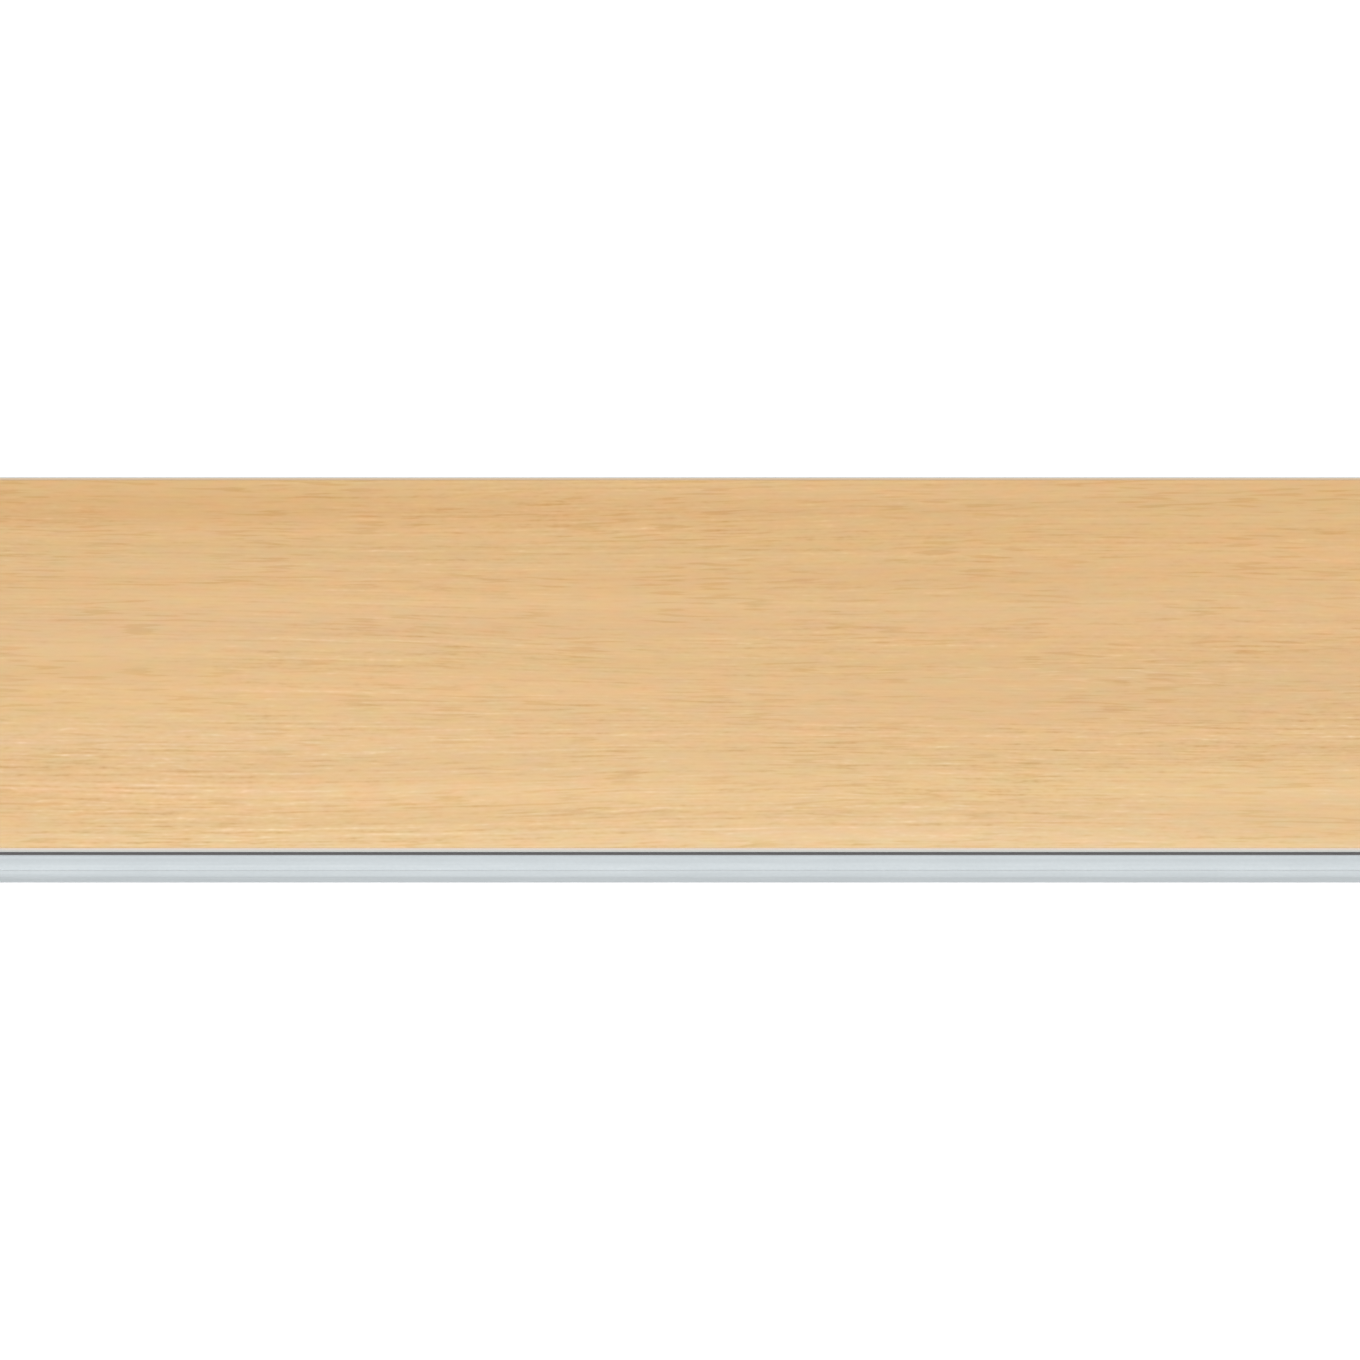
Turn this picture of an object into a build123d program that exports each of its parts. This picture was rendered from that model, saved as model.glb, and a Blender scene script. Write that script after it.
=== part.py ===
"""Herringbone vinyl plank: a wood-print vinyl face laminated on a grey rigid core.

All four edges are milled with the same drop-lock click section, because in a herringbone
floor the end of one plank locks into the long side of another. The front long side and the
left end carry the receiving lip, with a channel and an upward hook. The back long side and
the right end carry the matching downward hook, which stays under the face.

Millimetres, +Z up. The origin is on the underside, at the middle of the laid area, so planks
repeat every face_width along Y and the joint lines lie at half that size from the origin.
"""

import os

from build123d import *

# Overall sizes, from joint line to joint line
face_length = 600.0
face_width = 120.0
thickness = 5.0
vinyl_thickness = 0.55
bevel = 1.1

# Receiving lip: a channel beside the joint line, then an upward hook
lip_thickness = 1.8
channel_width = 5.55
channel_corner_radius = 0.3
dust_groove_width = 0.75
dust_groove_depth = 0.6
dust_groove_radius = 0.2
hook_height = 1.4
hook_lean = 0.25
hook_top_width = 1.75
hook_slope_run = 1.6
hook_inner_radius = 0.4
hook_outer_radius = 1.4
lip_end_height = 0.9

# Snap groove in the joint wall, which a rib on the next plank clicks into
snap_sill = 0.4
snap_height = 0.9
snap_back_height = 0.4
snap_depth = 0.5

# Room between two locked planks
lock_clearance = 0.05
free_clearance = 0.2
lead_in = 0.5

# The end cutters run this much lower than the side cutters, so no two cuts meet flush
end_cutter_drop = 0.02

# Heights and reaches that follow from the sizes above
channel_floor = lip_thickness
hook_top = channel_floor + hook_height
snap_bottom = channel_floor + snap_sill
snap_top = snap_bottom + snap_height
snap_flank = (snap_height - snap_back_height) / 2
bevel_foot = thickness - bevel
hook_crest_start = channel_width + hook_lean
hook_crest_end = hook_crest_start + hook_top_width
lip_reach = hook_crest_end + hook_slope_run
recess_top = hook_top + free_clearance
hook_underside = channel_floor + free_clearance


def lock_wall(height):
    """Distance from the joint line to the hook's leaning inner wall, at a height."""
    return channel_width + hook_lean * (height - channel_floor) / hook_height


def receiving_edge():
    """Corners of the lip edge from the face down to the underside.

    Each corner is (distance out from the joint line, height, corner radius).
    """
    dust_floor = channel_floor - dust_groove_depth
    return [
        (-bevel, thickness, 0),
        (0, bevel_foot, 0),
        (0, snap_top, 0),
        (-snap_depth, snap_top - snap_flank, 0),
        (-snap_depth, snap_bottom + snap_flank, 0),
        (0, snap_bottom, 0),
        (0, dust_floor, dust_groove_radius),
        (dust_groove_width, dust_floor, dust_groove_radius),
        (dust_groove_width, channel_floor, 0),
        (channel_width, channel_floor, channel_corner_radius),
        (hook_crest_start, hook_top, hook_inner_radius),
        (hook_crest_end, hook_top, hook_outer_radius),
        (lip_reach, lip_end_height, 0),
        (lip_reach, 0, 0),
    ]


def hooking_edge():
    """Corners of the hooked edge from the face down to the underside.

    They are given in the same frame as receiving_edge, as the two planks lie when locked.
    """
    rib_reach = snap_depth - lock_clearance
    rib_top = snap_top - lock_clearance
    rib_bottom = snap_bottom + lock_clearance
    return [
        (bevel, thickness, 0),
        (0, bevel_foot, 0),
        (0, rib_top, 0),
        (-rib_reach, rib_top - snap_flank, 0),
        (-rib_reach, rib_bottom + snap_flank, 0),
        (lock_clearance, rib_bottom, 0),
        (lead_in, hook_underside, 0),
        (lock_wall(hook_underside) - lock_clearance, hook_underside, 0),
        (lock_wall(recess_top) - lock_clearance, recess_top, 0),
        (hook_crest_end + free_clearance, recess_top, 0),
        (lip_reach + free_clearance, lip_end_height + free_clearance, 0),
        (lip_reach + free_clearance, 0, 0),
    ]


def edge_to_edge_section(span, cutter_drop):
    """Section through the plank across two opposite edges whose joint lines are span apart.

    The lock is milled lower by cutter_drop. The face, its bevels and the underside stay.
    """
    hooked = [(span / 2 - out, height, radius) for out, height, radius in hooking_edge()]
    received = [(-span / 2 - out, height, radius) for out, height, radius in receiving_edge()]
    corners = hooked + received[::-1]
    points = []
    for across, height, _ in corners:
        milled = 0 < height < bevel_foot
        points.append((across, height - cutter_drop if milled else height))
    outline = FilletPolyline(points, radius=[radius for _, _, radius in corners], close=True)
    return make_face(outline)


def milled_plank():
    """The whole plank: a strip with both long edges milled, then both ends cut.

    Where a lip runs past the hooked edge beside it, the cutters sever a small offcut,
    which drops away, so only the largest solid is kept.
    """
    blank_length = face_length + 4 * lip_reach
    blank_width = face_width + 4 * lip_reach
    side_section = edge_to_edge_section(face_width, 0)
    strip = extrude(Plane.YZ * side_section, amount=blank_length / 2, both=True)
    blank_side = Rectangle(blank_length, thickness, align=(Align.CENTER, Align.MIN))
    end_waste = blank_side - edge_to_edge_section(face_length, end_cutter_drop)
    end_cutters = extrude(Plane.XZ * end_waste, amount=blank_width / 2, both=True)
    milled = strip - end_cutters
    return milled.solids().sort_by(SortBy.VOLUME)[-1]


plank = milled_plank()
glue_line = Plane.XY.offset(thickness - vinyl_thickness)
vinyl_face = split(plank, bisect_by=glue_line, keep=Keep.TOP)
rigid_core = split(plank, bisect_by=glue_line, keep=Keep.BOTTOM)

os.makedirs("parts", exist_ok=True)
export_step(vinyl_face, "parts/wood_print_vinyl_face.step")
export_step(rigid_core, "parts/rigid_core.step")
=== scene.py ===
"""Herringbone vinyl plank: an embossed oak-print vinyl face on a milled grey core, in a white studio."""

import logging
import math
from dataclasses import dataclass, field
from enum import Enum

import bpy
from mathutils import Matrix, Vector


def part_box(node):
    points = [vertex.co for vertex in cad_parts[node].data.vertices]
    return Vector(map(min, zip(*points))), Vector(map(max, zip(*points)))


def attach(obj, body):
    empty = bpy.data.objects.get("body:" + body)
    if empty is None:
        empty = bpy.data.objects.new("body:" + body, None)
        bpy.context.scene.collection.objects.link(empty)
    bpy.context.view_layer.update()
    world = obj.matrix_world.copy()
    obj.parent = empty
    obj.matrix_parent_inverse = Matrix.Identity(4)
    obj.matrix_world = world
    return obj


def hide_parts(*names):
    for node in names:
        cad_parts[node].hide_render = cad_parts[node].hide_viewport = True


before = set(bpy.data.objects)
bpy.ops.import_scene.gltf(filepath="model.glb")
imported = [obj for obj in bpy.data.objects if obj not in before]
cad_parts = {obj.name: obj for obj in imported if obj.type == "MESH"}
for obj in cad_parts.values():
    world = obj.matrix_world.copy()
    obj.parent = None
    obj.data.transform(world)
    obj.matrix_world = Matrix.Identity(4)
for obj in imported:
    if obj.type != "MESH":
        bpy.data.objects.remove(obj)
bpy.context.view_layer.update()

LOG = logging.getLogger("herringbone_plank")
MM = 0.001
PER_MM = 1000.0

# Middle of a noise pattern's values, and how much further a seed moves it across than along
NOISE_MEAN = 0.5
SEED_ASIDE = 7.3

# The Mix node's sockets share their names between kinds of data, so they are reached by number
COLOUR_A, COLOUR_B, MIXED_COLOUR = 6, 7, 2
VECTOR_A, VECTOR_B, MIXED_VECTOR = 4, 5, 1


class Node(Enum):
    """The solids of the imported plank."""

    FACE = "wood_print_vinyl_face"
    CORE = "rigid_core"


class Slot(Enum):
    """The record's material slots."""

    VINYL = "wood_print_vinyl"
    CORE = "grey_core"


class Side(Enum):
    """The four sides of the face, in the order in which its rim is drawn."""

    FRONT = "front lip"
    RIGHT = "right hook"
    BACK = "back hook"
    LEFT = "left lip"


class Finish(Enum):
    """The finishes of the vinyl face, by their places in its list of materials."""

    PRINT = 0
    PALE_CUT = 1
    # Painted shade: the back and right bevels take a darker, print-toned copy of the cut vinyl
    TONED_CUT = 2


def srgb(code: str) -> tuple[float, float, float, float]:
    """Turns an sRGB hex colour into linear values.

    Args:
        code: Six hex digits, with or without a leading hash.

    Returns:
        Linear red, green and blue, with an alpha of 1.
    """
    digits = code.lstrip("#")
    encoded = [int(digits[i:i + 2], 16) / 255 for i in (0, 2, 4)]
    linear = [c / 12.92 if c <= 0.04045 else ((c + 0.055) / 1.055) ** 2.4 for c in encoded]
    return (*linear, 1.0)


def add_node(
    tree: bpy.types.NodeTree,
    kind: str,
    inputs: dict | None = None,
    stops: tuple[tuple[float, str], ...] = (),
    **settings: object,
) -> bpy.types.Node:
    """Adds a node with its settings, values and links.

    Args:
        tree: Shader or geometry node tree.
        kind: Blender's type name of the node.
        inputs: Input name or number to a value, or to the output socket that feeds it.
        stops: Places and hex colours, for a node that has a colour ramp.
        settings: Properties of the node itself.

    Returns:
        The new node.
    """
    node = tree.nodes.new(kind)
    for name, value in settings.items():
        setattr(node, name, value)
    for key, value in (inputs or {}).items():
        if isinstance(value, bpy.types.NodeSocket):
            tree.links.new(value, node.inputs[key])
        else:
            node.inputs[key].default_value = value
    for _ in stops[2:]:
        node.color_ramp.elements.new(0.5)
    for element, (at, code) in zip(node.color_ramp.elements if stops else (), stops):
        element.position = at
        element.color = srgb(code)
    return node


def new_material(name: str) -> tuple[bpy.types.Material, bpy.types.NodeTree, bpy.types.Node]:
    """Starts a material that has a Principled shader.

    Args:
        name: The finish, in plain words.

    Returns:
        The material, its node tree and the shader node.
    """
    material = bpy.data.materials.new(name)
    material.use_nodes = True
    tree = material.node_tree
    tree.nodes.clear()
    shader = add_node(tree, "ShaderNodeBsdfPrincipled")
    add_node(tree, "ShaderNodeOutputMaterial", {"Surface": shader.outputs["BSDF"]})
    return material, tree, shader


def place_in_mm(tree: bpy.types.NodeTree) -> bpy.types.NodeSocket:
    """Reads the place on a piece.

    Args:
        tree: Shader node tree.

    Returns:
        The position in the plank's own frame, in millimetres.
    """
    position = add_node(tree, "ShaderNodeTexCoord").outputs["Object"]
    place = add_node(tree, "ShaderNodeVectorMath", {0: position, "Scale": PER_MM}, operation="SCALE")
    return place.outputs[0]


@dataclass(frozen=True)
class Streaks:
    """A pattern of streaks, by the real size of one streak and the weight that it has in a mixture."""

    length_mm: float
    width_mm: float
    seed: float
    detail: float = 0.0
    weight: float = 1.0

    def add_to(self, tree: bpy.types.NodeTree, place: bpy.types.NodeSocket) -> bpy.types.NodeSocket:
        """Draws the streaks along the first coordinate of a place.

        Args:
            tree: Shader or geometry node tree.
            place: Position in millimetres.

        Returns:
            A value from 0 to 1 that is 0.5 on average.
        """
        stretched = add_node(tree, "ShaderNodeVectorMath", {
            0: place,
            1: (1 / self.length_mm, 1 / self.width_mm, 0.0),
            2: (self.seed, SEED_ASIDE * self.seed, 0.0),
        }, operation="MULTIPLY_ADD")
        noise = add_node(tree, "ShaderNodeTexNoise", {
            "Vector": stretched.outputs[0], "Scale": 1.0, "Detail": self.detail, "Roughness": 0.5,
        }, noise_dimensions="2D")
        return noise.outputs[0]


def mixture(
    tree: bpy.types.NodeTree, place: bpy.types.NodeSocket, layers: tuple[Streaks, ...],
) -> bpy.types.NodeSocket:
    """Adds up patterns by their weights.

    Args:
        tree: Shader or geometry node tree.
        place: Position in millimetres.
        layers: The patterns.

    Returns:
        A value that is 0 on average.
    """
    total = -NOISE_MEAN * sum(layer.weight for layer in layers)
    for layer in layers:
        total = add_node(tree, "ShaderNodeMath", {
            0: layer.add_to(tree, place), 1: layer.weight, 2: total,
        }, operation="MULTIPLY_ADD").outputs[0]
    return total


@dataclass
class GrainSockets:
    """What the grain gives to a print or to an embossing."""

    place: bpy.types.NodeSocket
    lines: bpy.types.NodeSocket
    pore: bpy.types.NodeSocket
    fleck: bpy.types.NodeSocket


@dataclass(frozen=True)
class OakGrain:
    """Straight oak grain that the print and the embossing share, so that they lie in register.

    Oak's finest vessels are about 0.3 mm wide. They are drawn two to three times as wide, so that they
    show in a picture.
    """

    # How far the grain wanders aside, in long sweeps and in small waves
    drift_mm: float = 4.0
    drift: Streaks = Streaks(length_mm=260.0, width_mm=60.0, seed=1.7)
    waver_mm: float = 0.15
    waver: Streaks = Streaks(length_mm=30.0, width_mm=7.0, seed=5.9)
    # Lines of four lengths, which add up to the grain
    lines: tuple[Streaks, ...] = (
        Streaks(length_mm=6.5, width_mm=0.82, seed=11.3, weight=0.12),
        Streaks(length_mm=30.0, width_mm=0.82, seed=23.9, weight=0.13),
        Streaks(length_mm=170.0, width_mm=0.82, seed=31.1, weight=0.175),
        Streaks(length_mm=2.2, width_mm=0.7, seed=37.7, weight=0.085),
    )
    # Pores, which lie in groups, and pale flecks, which lie in one patch
    pore: Streaks = Streaks(length_mm=14.0, width_mm=0.8, seed=47.7)
    pore_group: Streaks = Streaks(length_mm=45.0, width_mm=8.0, seed=53.3, detail=1.0)
    fleck: Streaks = Streaks(length_mm=10.0, width_mm=0.9, seed=61.9)
    fleck_centre_mm: tuple[float, float] = (134.6, -3.5)
    fleck_reach_mm: tuple[float, float] = (55.0, 6.0)
    pore_range: tuple[float, float] = (0.56, 0.72)
    fleck_range: tuple[float, float] = (0.60, 0.80)
    group_range: tuple[float, float] = (0.40, 0.62)
    patch_rim: float = 0.5
    # How much of the lines is plain, how fast strong lines gain on weak ones, and where they are calmer
    plain_share: float = 0.36
    crispness: float = 9.0
    dark_bias: float = 0.02
    calm: Streaks = Streaks(length_mm=120.0, width_mm=25.0, seed=77.9)
    calm_share: float = 1.6

    def add_to(self, tree: bpy.types.NodeTree, place: bpy.types.NodeSocket) -> GrainSockets:
        """Adds the grain to a tree.

        Args:
            tree: Shader or geometry node tree.
            place: Position on the plank in millimetres.

        Returns:
            The sockets of the grain's features.
        """
        grown = place
        for streaks, reach in ((self.drift, self.drift_mm), (self.waver, self.waver_mm)):
            aside = add_node(tree, "ShaderNodeMath", {
                0: streaks.add_to(tree, place), 1: 2 * reach, 2: -reach,
            }, operation="MULTIPLY_ADD")
            shift = add_node(tree, "ShaderNodeCombineXYZ", {"Y": aside.outputs[0]})
            grown = add_node(tree, "ShaderNodeVectorMath", {0: grown, 1: shift.outputs[0]}).outputs[0]
        dashes = []
        for dash, reach, group in (
            (self.pore, self.pore_range, self.pore_group.add_to(tree, grown)),
            (self.fleck, self.fleck_range, self.fleck_patch(tree, place)),
        ):
            shares = []
            for value, (low, high) in ((dash.add_to(tree, grown), reach), (group, self.group_range)):
                shares.append(add_node(tree, "ShaderNodeMapRange", {
                    "Value": value, "From Min": low, "From Max": high,
                }, interpolation_type="SMOOTHSTEP").outputs[0])
            dashes.append(add_node(tree, "ShaderNodeMath", {
                0: shares[0], 1: shares[1],
            }, operation="MULTIPLY").outputs[0])
        return GrainSockets(place, self.crisp_lines(tree, grown), *dashes)

    def fleck_patch(self, tree: bpy.types.NodeTree, place: bpy.types.NodeSocket) -> bpy.types.NodeSocket:
        """Finds the patch where the cut met the wood's rays, which show as pale flecks.

        Args:
            tree: Shader or geometry node tree.
            place: Position on the plank in millimetres.

        Returns:
            1 at the middle of the patch and patch_rim at its rim.
        """
        reaches = list(zip(self.fleck_centre_mm, self.fleck_reach_mm))
        shares = add_node(tree, "ShaderNodeVectorMath", {
            0: place,
            1: (*(1 / reach for _, reach in reaches), 0.0),
            2: (*(-centre / reach for centre, reach in reaches), 0.0),
        }, operation="MULTIPLY_ADD")
        far = add_node(tree, "ShaderNodeVectorMath", {0: shares.outputs[0]}, operation="LENGTH")
        return add_node(tree, "ShaderNodeMath", {
            0: far.outputs["Value"], 1: self.patch_rim - 1, 2: 1.0,
        }, operation="MULTIPLY_ADD").outputs[0]

    def crisp_lines(self, tree: bpy.types.NodeTree, grown: bpy.types.NodeSocket) -> bpy.types.NodeSocket:
        """Draws lines of which a few stand out, the dark ones most, from a quiet ground with calmer patches.

        Args:
            tree: Shader or geometry node tree.
            grown: Position in millimetres, moved aside by the grain's drift.

        Returns:
            A value that is about 0 on average.
        """
        lines = mixture(tree, grown, self.lines)
        apart = add_node(tree, "ShaderNodeMath", {0: lines, 1: -self.dark_bias})
        strength = add_node(tree, "ShaderNodeMath", {0: apart.outputs[0]}, operation="ABSOLUTE")
        gain = add_node(tree, "ShaderNodeMath", {
            0: strength.outputs[0], 1: self.crispness, 2: self.plain_share,
        }, operation="MULTIPLY_ADD")
        patch = add_node(tree, "ShaderNodeMath", {
            0: self.calm.add_to(tree, grown), 1: self.calm_share, 2: 1 - self.calm_share * NOISE_MEAN,
        }, operation="MULTIPLY_ADD")
        for factor in (gain, patch):
            lines = add_node(tree, "ShaderNodeMath", {
                0: lines, 1: factor.outputs[0],
            }, operation="MULTIPLY").outputs[0]
        return lines


@dataclass(frozen=True)
class InkTint:
    """A faint filter over the print: one hex colour where its pattern is low, another where it is high.

    Only the hue counts, because each colour is scaled to leave the oak as light as it was.
    """

    low: str
    high: str
    share: float = 1.0
    oak_shares: tuple[float, float, float] = (0.41, 0.34, 0.25)

    def add_to(
        self, tree: bpy.types.NodeTree, pattern: bpy.types.NodeSocket, colour: bpy.types.NodeSocket,
    ) -> bpy.types.NodeSocket:
        """Tints a colour.

        Args:
            tree: Shader node tree.
            pattern: Where the filter turns from its low colour, at 0, to its high one, at 1.
            colour: The colour before the tint.

        Returns:
            The tinted colour.
        """
        for code, end in ((self.low, 0.0), (self.high, 1.0)):
            share = add_node(tree, "ShaderNodeMapRange", {
                "Value": pattern, "From Min": NOISE_MEAN, "From Max": end, "To Max": self.share,
            })
            colour = add_node(tree, "ShaderNodeMix", {
                0: share.outputs[0], COLOUR_A: colour, COLOUR_B: self.balanced(code),
            }, data_type="RGBA", blend_type="MULTIPLY").outputs[MIXED_COLOUR]
        return colour

    def balanced(self, code: str) -> tuple[float, float, float, float]:
        """Scales a filter by what red, green and blue add to the oak's lightness.

        Args:
            code: The filter's hex colour.

        Returns:
            Linear red, green and blue, of which some pass 1, with an alpha of 1.
        """
        passed = srgb(code)[:3]
        light = math.prod(value ** share for value, share in zip(passed, self.oak_shares))
        return (*(value / light for value in passed), 1.0)


@dataclass(frozen=True)
class PrintedOakVinyl:
    """Vinyl film printed with pale straight-grain oak, under a satin lacquer that was embossed by a plate.

    It gives the eye a warm, even wood tone with fine lines along the plank and a soft, low sheen.
    """

    grain: OakGrain
    name: str = "oak_printed_vinyl_embossed_satin"
    deep_oak: str = "#C69654"
    oak: str = "#E2B981"
    pale_oak: str = "#F9D8AC"
    # Broad bands of tone, then tints in small patches and in long ones
    band: Streaks = Streaks(length_mm=420.0, width_mm=10.0, seed=83.1, detail=1.0, weight=0.28)
    tints: tuple[tuple[Streaks, InkTint], ...] = (
        (Streaks(length_mm=11.0, width_mm=3.2, seed=91.7, detail=1.0), InkTint("#ECF3FF", "#FFF8EC", 0.7)),
        (Streaks(length_mm=10.0, width_mm=3.2, seed=97.3, detail=1.0), InkTint("#F4FFF6", "#FFF4FD", 0.67)),
        (Streaks(length_mm=380.0, width_mm=14.0, seed=103.9), InkTint("#ECF3FF", "#FFF8EC", 0.45)),
        (Streaks(length_mm=340.0, width_mm=12.0, seed=109.1), InkTint("#F4FFF6", "#FFF4FD", 0.3)),
    )
    # Painted sheen: the print turns a touch cooler towards the lip
    painted_sheen_tint: InkTint = InkTint("#FFFFFC", "#FCFFFE")
    pore_weight: float = 0.115
    fleck_weight: float = 0.12
    # The print's lines are stronger towards the lip; the tone is paler there, most in a strip beside it,
    # partly print and partly painted sheen
    lines_at_lip: float = 1.35
    lines_at_back: float = 0.71
    middle_tone: float = 0.44
    paler_to_lip: float = 0.27
    pale_strip: float = 0.09
    pale_strip_mm: float = 13.0
    half_width_mm: float = 60.0
    roughness: float = 0.46
    pore_roughness: float = 0.10
    ior: float = 1.5
    bump_mm: float = 0.06

    def material(self) -> bpy.types.Material:
        """Makes the material.

        Returns:
            The finished material.
        """
        material, tree, shader = new_material(self.name)
        grain = self.grain.add_to(tree, place_in_mm(tree))
        across = add_node(tree, "ShaderNodeSeparateXYZ", {0: grain.place}).outputs["Y"]
        width = 2 * self.half_width_mm
        fall = self.paler_to_lip / 2
        slopes = []
        # The paler tone towards the lip and in the strip beside it is partly print, partly painted sheen
        for reach, at_lip, beyond in (
            (width, self.middle_tone + fall, self.middle_tone - fall),
            (width, self.lines_at_lip, self.lines_at_back),
            (width, 1.0, 0.0),
            (self.pale_strip_mm, self.pale_strip, 0.0),
        ):
            slopes.append(add_node(tree, "ShaderNodeMapRange", {
                "Value": across, "From Min": -self.half_width_mm, "From Max": reach - self.half_width_mm,
                "To Min": at_lip, "To Max": beyond,
            }).outputs[0])
        base_tone, line_strength, lip_share, pale_strip = slopes
        tone = add_node(tree, "ShaderNodeMath", {
            0: grain.lines, 1: line_strength, 2: base_tone,
        }, operation="MULTIPLY_ADD").outputs[0]
        for part in (mixture(tree, grain.place, (self.band,)), pale_strip):
            tone = add_node(tree, "ShaderNodeMath", {0: tone, 1: part}).outputs[0]
        for dash, weight in ((grain.pore, -self.pore_weight), (grain.fleck, self.fleck_weight)):
            tone = add_node(tree, "ShaderNodeMath", {
                0: dash, 1: weight, 2: tone,
            }, operation="MULTIPLY_ADD").outputs[0]
        colour = add_node(
            tree, "ShaderNodeValToRGB", {"Fac": tone},
            stops=((0.0, self.deep_oak), (0.5, self.oak), (1.0, self.pale_oak)),
        ).outputs["Color"]
        for streaks, tint in self.tints:
            colour = tint.add_to(tree, streaks.add_to(tree, grain.place), colour)
        colour = self.painted_sheen_tint.add_to(tree, lip_share, colour)
        tree.links.new(colour, shader.inputs["Base Color"])
        dull = add_node(tree, "ShaderNodeMath", {
            0: grain.pore, 1: self.pore_roughness, 2: self.roughness,
        }, operation="MULTIPLY_ADD")
        tree.links.new(dull.outputs[0], shader.inputs["Roughness"])
        bump = add_node(tree, "ShaderNodeBump", {"Height": grain.lines, "Distance": self.bump_mm * MM})
        tree.links.new(bump.outputs[0], shader.inputs["Normal"])
        shader.inputs["IOR"].default_value = self.ior
        return material


@dataclass(frozen=True)
class CutVinylEdge:
    """The bevel that a cutter ran through the vinyl: clear lacquer and print on a white vinyl base.

    It gives the eye a thin pale line, warm just under the print and whiter below it.
    """

    name: str = "white_vinyl_bevel_cut"
    print_edge: str = "#F5D4B0"
    base: str = "#FAEADB"
    cutter_marks: Streaks = Streaks(length_mm=30.0, width_mm=0.5, seed=13.7)
    print_depth_mm: float = 0.2
    mark_weight: float = 0.25
    roughness: float = 0.6
    ior: float = 1.53

    def material(self, face_height: float) -> bpy.types.Material:
        """Makes the material.

        Args:
            face_height: Height of the printed face above the underside, in metres.

        Returns:
            The finished material.
        """
        material, tree, shader = new_material(self.name)
        place = place_in_mm(tree)
        height = add_node(tree, "ShaderNodeSeparateXYZ", {0: place}).outputs["Z"]
        top = face_height * PER_MM
        below = add_node(tree, "ShaderNodeMapRange", {
            "Value": height, "From Min": top, "From Max": top - self.print_depth_mm,
            "To Min": -self.mark_weight / 2, "To Max": 1 - self.mark_weight / 2,
        })
        share = add_node(tree, "ShaderNodeMath", {
            0: self.cutter_marks.add_to(tree, place), 1: self.mark_weight, 2: below.outputs[0],
        }, operation="MULTIPLY_ADD", use_clamp=True)
        mix = add_node(tree, "ShaderNodeMix", {
            0: share.outputs[0], COLOUR_A: srgb(self.print_edge), COLOUR_B: srgb(self.base),
        }, data_type="RGBA")
        tree.links.new(mix.outputs[MIXED_COLOUR], shader.inputs["Base Color"])
        shader.inputs["Roughness"].default_value = self.roughness
        shader.inputs["IOR"].default_value = self.ior
        return material


@dataclass(frozen=True)
class LipLine:
    """A line along both lips, which meets itself at their corner.

    It is given by how far out from the joint it lies, how wide it is and its colour.
    """

    out_mm: float
    half_width_mm: float
    fade_mm: float
    code: str
    share: float = 1.0

    def add_to(
        self, tree: bpy.types.NodeTree, axes: bpy.types.NodeOutputs, lip_corner: Vector,
    ) -> bpy.types.NodeSocket:
        """Finds the line.

        Args:
            tree: Shader node tree.
            axes: Sockets of the place's three coordinates, in millimetres.
            lip_corner: Where the joint lines of the two lips cross, in metres.

        Returns:
            The line's share on it and 0 elsewhere.
        """
        line = [joint * PER_MM - self.out_mm for joint in lip_corner.xy]
        near = 0.0
        for axis, at, along, end in (("X", line[0], "Y", line[1]), ("Y", line[1], "X", line[0])):
            gap = add_node(tree, "ShaderNodeMath", {0: axes[axis], 1: at}, operation="SUBTRACT")
            gap = add_node(tree, "ShaderNodeMath", {0: gap.outputs[0]}, operation="ABSOLUTE")
            share = add_node(tree, "ShaderNodeMapRange", {
                "Value": gap.outputs[0], "To Max": self.share,
                "From Min": self.half_width_mm, "From Max": self.half_width_mm - self.fade_mm,
            })
            inside = add_node(tree, "ShaderNodeMath", {
                0: axes[along], 1: end - self.half_width_mm,
            }, operation="GREATER_THAN")
            share = add_node(tree, "ShaderNodeMath", {
                0: share.outputs[0], 1: inside.outputs[0],
            }, operation="MULTIPLY")
            near = add_node(tree, "ShaderNodeMath", {
                0: near, 1: share.outputs[0],
            }, operation="MAXIMUM").outputs[0]
        return near


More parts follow.
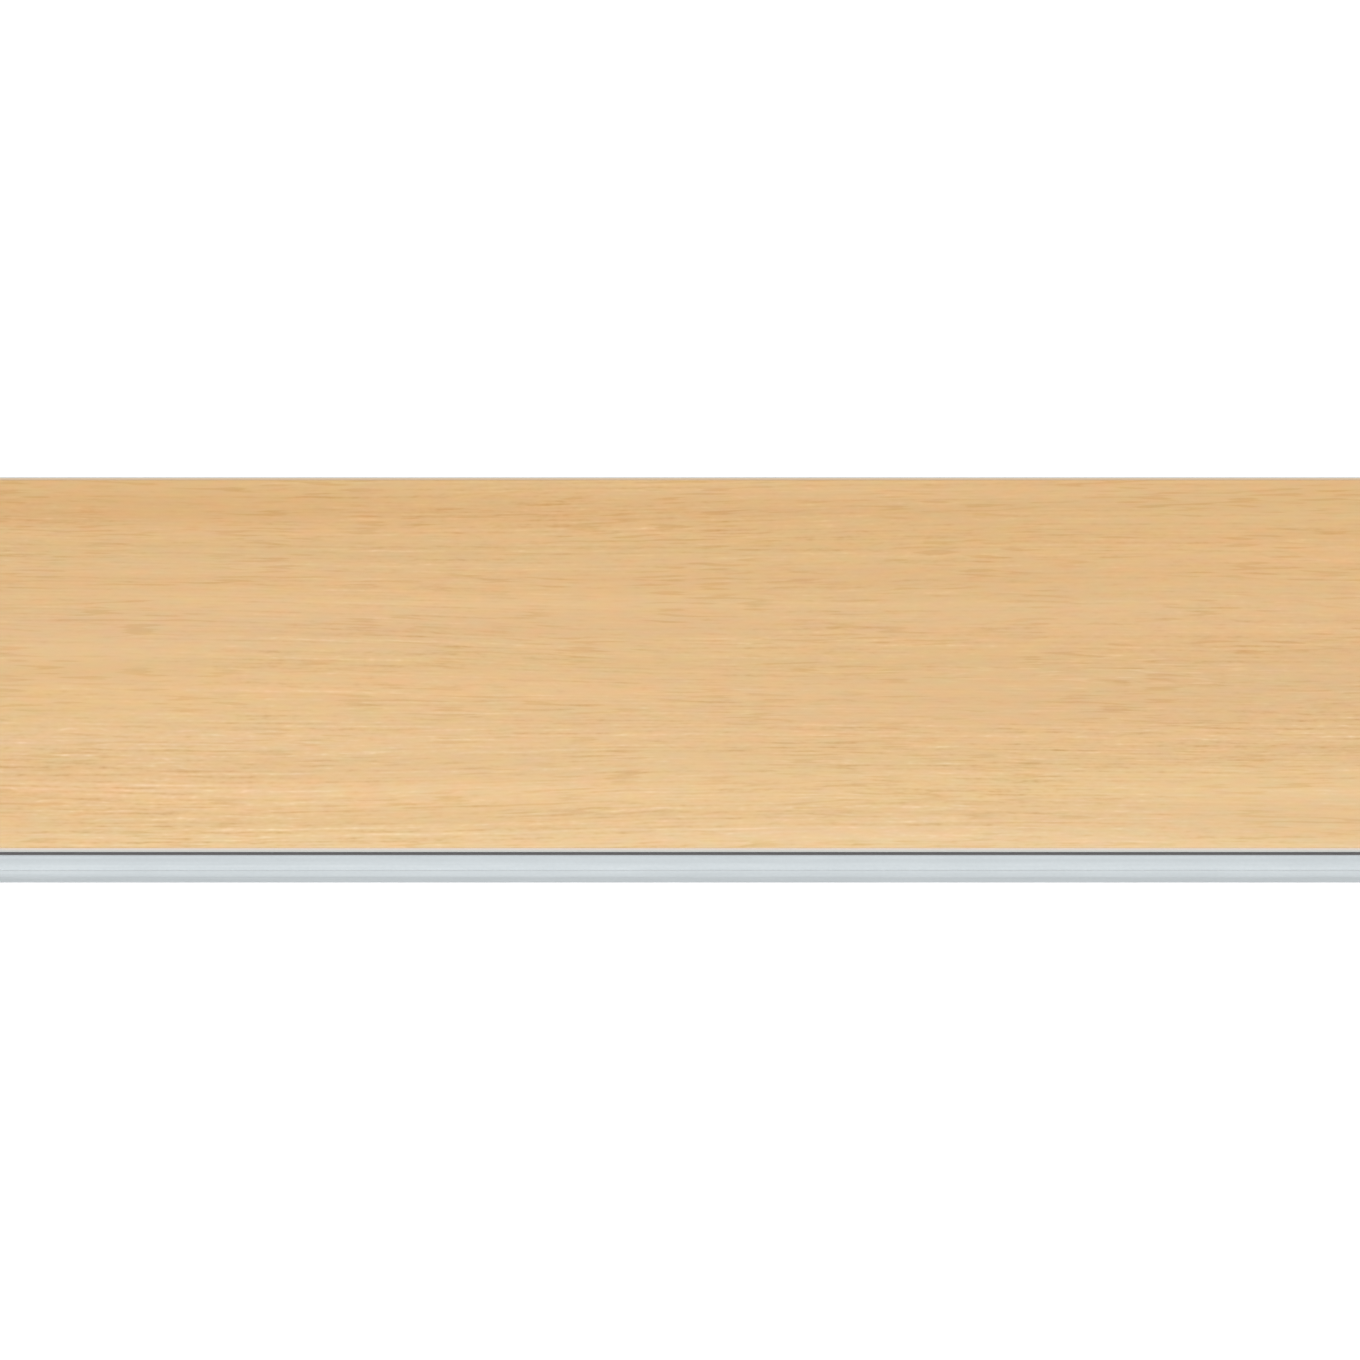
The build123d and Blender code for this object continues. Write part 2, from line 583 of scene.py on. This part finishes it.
@dataclass(frozen=True)
class MilledRigidCore:
    """Limestone-filled rigid vinyl, pressed as a sheet and milled along its edges.

    It gives the eye a cool pale grey, matte, with faint lines along each cut, fine mineral specks, and one
    dark line of painted shade in the groove at the foot of the joint wall. Further out, the lip has a faint
    band of painted shade near the wall and a pale line of painted light at the hook's foot.
    """

    name: str = "limestone_vinyl_core_milled"
    shade: str = "#C2C9CC"
    grey: str = "#D0D7DA"
    light: str = "#DEE4E7"
    painted_lip_light_and_shade: tuple[LipLine, ...] = (
        # Painted shade: a faint darker band on the channel floor near the joint wall
        LipLine(out_mm=2.45, half_width_mm=1.0, fade_mm=0.7, code="#C2C9CC", share=0.38),
        # Painted light: a pale line laid over the shade at the foot of the hook
        LipLine(out_mm=5.78, half_width_mm=0.36, fade_mm=0.1, code="#FFFFFF", share=0.55),
        # Painted shade: the dark line in the groove at the foot of the joint wall
        LipLine(out_mm=0.0, half_width_mm=0.78, fade_mm=0.12, code="#858282"),
    )
    lines_low_mm: float = 0.6
    lines_high_mm: float = 2.6
    marks: tuple[Streaks, ...] = (
        Streaks(length_mm=150.0, width_mm=1.1, seed=19.1, detail=1.0, weight=0.45),
        Streaks(length_mm=22.0, width_mm=1.8, seed=29.3, detail=1.0, weight=0.30),
        Streaks(length_mm=1.4, width_mm=0.9, seed=41.9, weight=0.15),
    )
    # Painted light and shade on the core's bevels: pale on the front and left, print-toned on the back and
    # right
    painted_light_cut: str = "#E7E6DE"
    painted_shade_tone: str = "#DCC7AB"
    roughness: float = 0.72
    ior: float = 1.54
    bump_mm: float = 0.03

    def material(self, lip_corner: Vector, hook_corner: Vector, end_line: float) -> bpy.types.Material:
        """Makes the material.

        Args:
            lip_corner: Where the joint lines of the two lips cross, at the foot of the bevel, in metres.
            hook_corner: Where the bevels of the two hooked edges begin, in metres.
            end_line: Distance from the middle past which the ends' own cutters ran, in metres.

        Returns:
            The finished material.
        """
        material, tree, shader = new_material(self.name)
        axes = add_node(tree, "ShaderNodeSeparateXYZ", {0: place_in_mm(tree)}).outputs
        far = add_node(tree, "ShaderNodeMath", {0: axes["X"]}, operation="ABSOLUTE")
        at_end = add_node(tree, "ShaderNodeMath", {
            0: far.outputs[0], 1: end_line * PER_MM,
        }, operation="GREATER_THAN")
        runs = []
        for along, aside in (("X", "Y"), ("Y", "X")):
            depth = add_node(tree, "ShaderNodeMath", {0: axes[aside], 1: axes["Z"]})
            run = add_node(tree, "ShaderNodeCombineXYZ", {"X": axes[along], "Y": depth.outputs[0]})
            runs.append(run.outputs[0])
        run = add_node(tree, "ShaderNodeMix", {
            0: at_end.outputs[0], VECTOR_A: runs[0], VECTOR_B: runs[1],
        }, data_type="VECTOR")
        lines = mixture(tree, run.outputs[MIXED_VECTOR], self.marks)
        tone = add_node(tree, "ShaderNodeMath", {0: lines, 1: NOISE_MEAN})
        grey = add_node(
            tree, "ShaderNodeValToRGB", {"Fac": tone.outputs[0]},
            stops=((0.0, self.shade), (0.5, self.grey), (1.0, self.light)),
        )
        bevelled = add_node(tree, "ShaderNodeMath", {
            0: axes["Z"], 1: lip_corner.z * PER_MM,
        }, operation="GREATER_THAN").outputs[0]
        # Painted shade: the back and right bevels darker and print-toned
        hooked = add_node(tree, "ShaderNodeMath", {
            0: self.beyond(tree, axes, hook_corner), 1: bevelled,
        }, operation="MULTIPLY").outputs[0]
        middle = (self.lines_low_mm + self.lines_high_mm) / 2
        level = add_node(tree, "ShaderNodeMath", {
            0: axes["Z"], 1: middle, 2: middle - self.lines_low_mm,
        }, operation="COMPARE").outputs[0]
        shares = [(bevelled, self.painted_light_cut), (hooked, self.painted_shade_tone)]
        # The lip lines are painted shade and painted light
        for line in self.painted_lip_light_and_shade:
            share = add_node(tree, "ShaderNodeMath", {
                0: line.add_to(tree, axes, lip_corner), 1: level,
            }, operation="MULTIPLY")
            shares.append((share.outputs[0], line.code))
        colour = grey.outputs["Color"]
        for share, code in shares:
            colour = add_node(tree, "ShaderNodeMix", {
                0: share, COLOUR_A: colour, COLOUR_B: srgb(code),
            }, data_type="RGBA").outputs[MIXED_COLOUR]
        tree.links.new(colour, shader.inputs["Base Color"])
        bump = add_node(tree, "ShaderNodeBump", {"Height": lines, "Distance": self.bump_mm * MM})
        tree.links.new(bump.outputs[0], shader.inputs["Normal"])
        shader.inputs["Roughness"].default_value = self.roughness
        shader.inputs["IOR"].default_value = self.ior
        return material

    @staticmethod
    def beyond(
        tree: bpy.types.NodeTree, axes: bpy.types.NodeOutputs, corner: Vector,
    ) -> bpy.types.NodeSocket:
        """Finds what lies past a corner, to the right of it or behind it.

        Args:
            tree: Shader node tree.
            axes: Sockets of the place's three coordinates, in millimetres.
            corner: The corner, in metres.

        Returns:
            1 past the corner and 0 elsewhere.
        """
        past = 0.0
        for axis, line in (("X", corner.x), ("Y", corner.y)):
            over = add_node(tree, "ShaderNodeMath", {
                0: axes[axis], 1: line * PER_MM,
            }, operation="GREATER_THAN")
            past = add_node(tree, "ShaderNodeMath", {
                0: past, 1: over.outputs[0],
            }, operation="MAXIMUM").outputs[0]
        return past


@dataclass(frozen=True)
class WhiteSweep:
    """Matte white paper, lit to a clean white."""

    name: str = "white_paper_sweep"
    paper: str = "#F7F7F7"
    glow: float = 0.25
    roughness: float = 0.9

    def material(self) -> bpy.types.Material:
        """Makes the material.

        Returns:
            The finished material.
        """
        material, _, shader = new_material(self.name)
        shader.inputs["Base Color"].default_value = srgb(self.paper)
        shader.inputs["Roughness"].default_value = self.roughness
        shader.inputs["Emission Color"].default_value = srgb("#FFFFFF")
        shader.inputs["Emission Strength"].default_value = self.glow
        return material


@dataclass
class VinylFace:
    """The printed vinyl layer: an embossed top, four bevels and the glued underside."""

    grain: OakGrain
    name: str = "embossed_oak_vinyl_face"
    cells_along: int = 240
    cells_across: int = 398
    pore_depth_mm: float = 0.05
    line_depth_mm: float = 0.03
    line_range: tuple[float, float] = (-0.15, 0.15)
    # Just over 1, so that rounding doesn't hide a point of the rim
    rim_slack: float = 1.01
    low: Vector = field(default_factory=lambda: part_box(Node.FACE.value)[0])
    high: Vector = field(default_factory=lambda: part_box(Node.FACE.value)[1])

    def build(self) -> bpy.types.Object:
        """Builds the layer, closed all round.

        Returns:
            The new object, which replaces the plain solid.
        """
        rows, columns = self.cells_across + 1, self.cells_along + 1
        inset = self.high.z - self.low.z
        points = []
        for row in range(rows):
            y = self.step(self.low.y + inset, self.high.y - inset, row / self.cells_across)
            for column in range(columns):
                x = self.step(self.low.x + inset, self.high.x - inset, column / self.cells_along)
                points.append((x, y, self.high.z))
        faces = []
        for row in range(self.cells_across):
            for column in range(self.cells_along):
                corner = row * columns + column
                faces.append((corner, corner + 1, corner + columns + 1, corner + columns))
        finishes = [Finish.PRINT] * len(faces)
        rims = {
            Side.FRONT: list(range(columns)),
            Side.RIGHT: [row * columns + self.cells_along for row in range(rows)],
            Side.BACK: [self.cells_across * columns + column for column in reversed(range(columns))],
            Side.LEFT: [row * columns for row in reversed(range(rows))],
        }
        foot = {}
        for rim in rims.values():
            for index in rim[:-1]:
                x, y, _ = points[index]
                foot[index] = len(points)
                points.append((self.outward(x, 0, inset), self.outward(y, 1, inset), self.low.z))
        for side, rim in rims.items():
            for here, ahead in zip(rim, rim[1:]):
                faces.append((here, foot[here], foot[ahead], ahead))
            # The front and left bevels are painted pale as if lit, the back and right ones darker as if in
            # shade
            cut = Finish.PALE_CUT if side in (Side.FRONT, Side.LEFT) else Finish.TONED_CUT
            finishes += [cut] * (len(rim) - 1)
        front, right, back, left = rims.values()
        for column in range(self.cells_along):
            near = [foot[front[column + 1]], foot[front[column]]]
            far = [foot[back[-1 - column]], foot[back[-2 - column]]]
            first = [foot[i] for i in reversed(left[1:-1])] if column == 0 else []
            last = [foot[i] for i in reversed(right[1:-1])] if column == self.cells_along - 1 else []
            faces.append((*near, *first, *far, *last))
        finishes += [Finish.PALE_CUT] * self.cells_along
        mesh = bpy.data.meshes.new(self.name)
        mesh.from_pydata(points, [], faces)
        for polygon, finish in zip(mesh.polygons, finishes):
            polygon.material_index = finish.value
            polygon.use_smooth = finish is Finish.PRINT
        piece = bpy.data.objects.new(self.name, mesh)
        bpy.context.scene.collection.objects.link(piece)
        self.emboss(piece)
        return piece

    @staticmethod
    def step(start: float, end: float, share: float) -> float:
        """Returns the value at a share of the way from start to end."""
        return start + (end - start) * share

    def outward(self, value: float, axis: int, inset: float) -> float:
        """Moves a rim coordinate out to the foot of its bevel.

        Args:
            value: The coordinate at the top of the bevel.
            axis: 0 along the plank, 1 across it.
            inset: Width of the bevel.

        Returns:
            The coordinate at the foot, which is unchanged between the corners.
        """
        reach = inset * self.rim_slack
        if value < self.low[axis] + reach:
            return self.low[axis]
        if value > self.high[axis] - reach:
            return self.high[axis]
        return value

    def emboss(self, piece: bpy.types.Object) -> None:
        """Presses the grain into the top by Geometry Nodes.

        Args:
            piece: The layer's object.
        """
        tree = bpy.data.node_groups.new("emboss_oak_grain", "GeometryNodeTree")
        tree.interface.new_socket("Geometry", in_out="INPUT", socket_type="NodeSocketGeometry")
        tree.interface.new_socket("Geometry", in_out="OUTPUT", socket_type="NodeSocketGeometry")
        start = add_node(tree, "NodeGroupInput")
        position = add_node(tree, "GeometryNodeInputPosition").outputs[0]
        place = add_node(tree, "ShaderNodeVectorMath", {0: position, "Scale": PER_MM}, operation="SCALE")
        grain = self.grain.add_to(tree, place.outputs[0])
        lines = add_node(tree, "ShaderNodeMapRange", {
            "Value": grain.lines, "From Min": self.line_range[0], "From Max": self.line_range[1],
            "To Min": -self.line_depth_mm * MM, "To Max": 0.0,
        })
        depth = add_node(tree, "ShaderNodeMath", {
            0: grain.pore, 1: -self.pore_depth_mm * MM, 2: lines.outputs[0],
        }, operation="MULTIPLY_ADD")
        height = add_node(tree, "ShaderNodeSeparateXYZ", {0: position}).outputs["Z"]
        middle = (self.low.z + self.high.z) / 2
        on_top = add_node(tree, "ShaderNodeMath", {0: height, 1: middle}, operation="GREATER_THAN")
        press = add_node(tree, "ShaderNodeCombineXYZ", {"Z": depth.outputs[0]})
        pressed = add_node(tree, "GeometryNodeSetPosition", {
            "Geometry": start.outputs[0], "Selection": on_top.outputs[0], "Offset": press.outputs[0],
        })
        add_node(tree, "NodeGroupOutput", {0: pressed.outputs[0]})
        modifier = piece.modifiers.new("emboss", "NODES")
        modifier.node_group = tree

    def dress(self, piece: bpy.types.Object) -> None:
        """Gives the top its print and the bevels their cut vinyl, pale on the front and left and, as painted
        shade, darker on the back and right.

        Args:
            piece: The layer's object.
        """
        # Painted shade: a darker, print-toned copy of the cut vinyl for the back and right bevels
        toned = CutVinylEdge(name="painted_shade_vinyl_bevel_cut", print_edge="#D9B07F", base="#D5B795")
        materials = {
            Finish.PRINT: PrintedOakVinyl(self.grain).material(),
            Finish.PALE_CUT: CutVinylEdge().material(self.high.z),
            Finish.TONED_CUT: toned.material(self.high.z),
        }
        for finish in Finish:
            piece.data.materials.append(materials[finish])
        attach(piece, "root")
        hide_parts(Node.FACE.value)


@dataclass
class RigidCore:
    """The milled core, which keeps its own solid."""

    end_cut_mm: float = 9.35
    bevel_mm: float = 0.55

    def dress(self) -> bpy.types.Object:
        """Gives the core its finish.

        Returns:
            The core's object.
        """
        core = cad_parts[Node.CORE.value]
        low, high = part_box(Node.FACE.value)
        bevel = Vector((1, 1, 1)) * self.bevel_mm * MM
        end_line = high.x - self.end_cut_mm * MM
        core.data.materials.clear()
        core.data.materials.append(MilledRigidCore().material(low - bevel, high - bevel, end_line))
        return core


@dataclass
class Studio:
    """White floor, soft light from above and the camera."""

    floor_size: float = 12.0
    tilt_deg: float = 10.0
    lens_mm: float = 100.0
    sensor_mm: float = 36.0
    seen_length_mm: float = 429.5
    aim_y_mm: float = -5.156
    aim_z_mm: float = 2.5
    box_size: float = 2.4
    box_place: tuple[float, float, float] = (0.0, 0.15, 1.9)
    box_watts: float = 39.0
    sky_strength: float = 0.29
    horizon_glow: float = 0.23

    def floor(self) -> bpy.types.Object:
        """Lays the floor under the plank.

        Returns:
            The floor.
        """
        half = self.floor_size / 2
        corners = [(-half, -half, 0), (half, -half, 0), (half, half, 0), (-half, half, 0)]
        mesh = bpy.data.meshes.new("floor")
        mesh.from_pydata(corners, [], [(0, 1, 2, 3)])
        mesh.materials.append(WhiteSweep().material())
        floor = bpy.data.objects.new("floor", mesh)
        bpy.context.scene.collection.objects.link(floor)
        return floor

    def lights(self) -> bpy.types.Object:
        """Hangs a soft box over the plank, a little to the back, in an evenly white room.

        The room is brighter where the camera sees it, to meet the floor's far tone.

        Returns:
            The soft box.
        """
        lamp = bpy.data.lights.new("soft_box", "AREA")
        lamp.shape = "SQUARE"
        lamp.size = self.box_size
        lamp.energy = self.box_watts
        light = bpy.data.objects.new("soft_box", lamp)
        light.location = self.box_place
        light.rotation_euler = (-light.location).to_track_quat("-Z", "Y").to_euler()
        bpy.context.scene.collection.objects.link(light)
        world = bpy.data.worlds.new("white_room")
        world.use_nodes = True
        world.node_tree.nodes.clear()
        seen = add_node(world.node_tree, "ShaderNodeLightPath").outputs["Is Camera Ray"]
        strength = add_node(world.node_tree, "ShaderNodeMath", {
            0: seen, 1: self.horizon_glow, 2: self.sky_strength,
        }, operation="MULTIPLY_ADD")
        sky = add_node(world.node_tree, "ShaderNodeBackground", {
            "Color": srgb("#FFFFFF"), "Strength": strength.outputs[0],
        })
        add_node(world.node_tree, "ShaderNodeOutputWorld", {"Surface": sky.outputs[0]})
        bpy.context.scene.world = world
        return light

    def camera(self) -> bpy.types.Object:
        """Sets the camera over the plank, leaning to the lip's side.

        Returns:
            The camera.
        """
        data = bpy.data.cameras.new("camera")
        data.lens = self.lens_mm
        data.sensor_width = self.sensor_mm
        distance = self.seen_length_mm * MM * self.lens_mm / self.sensor_mm
        tilt = math.radians(self.tilt_deg)
        back = Vector((0, -math.sin(tilt), math.cos(tilt)))
        camera = bpy.data.objects.new("camera", data)
        camera.location = Vector((0, self.aim_y_mm * MM, self.aim_z_mm * MM)) + back * distance
        camera.rotation_euler = (tilt, 0, 0)
        bpy.context.scene.collection.objects.link(camera)
        bpy.context.scene.camera = camera
        return camera


def main() -> None:
    """Builds the plank's pieces, then the studio, and logs what it set."""
    logging.basicConfig(level=logging.INFO, format="%(name)s: %(message)s")
    bpy.context.scene.view_settings.view_transform = "Standard"
    face = VinylFace(OakGrain())
    piece = face.build()
    face.dress(piece)
    LOG.info("%s: %d polygons, rides on root", piece.name, len(piece.data.polygons))
    core = RigidCore().dress()
    LOG.info("%s: solid kept, new finish", core.name)
    studio = Studio()
    for item in (studio.floor(), studio.lights(), studio.camera()):
        LOG.info("studio: %s set", item.name)


if __name__ == "__main__":
    main()
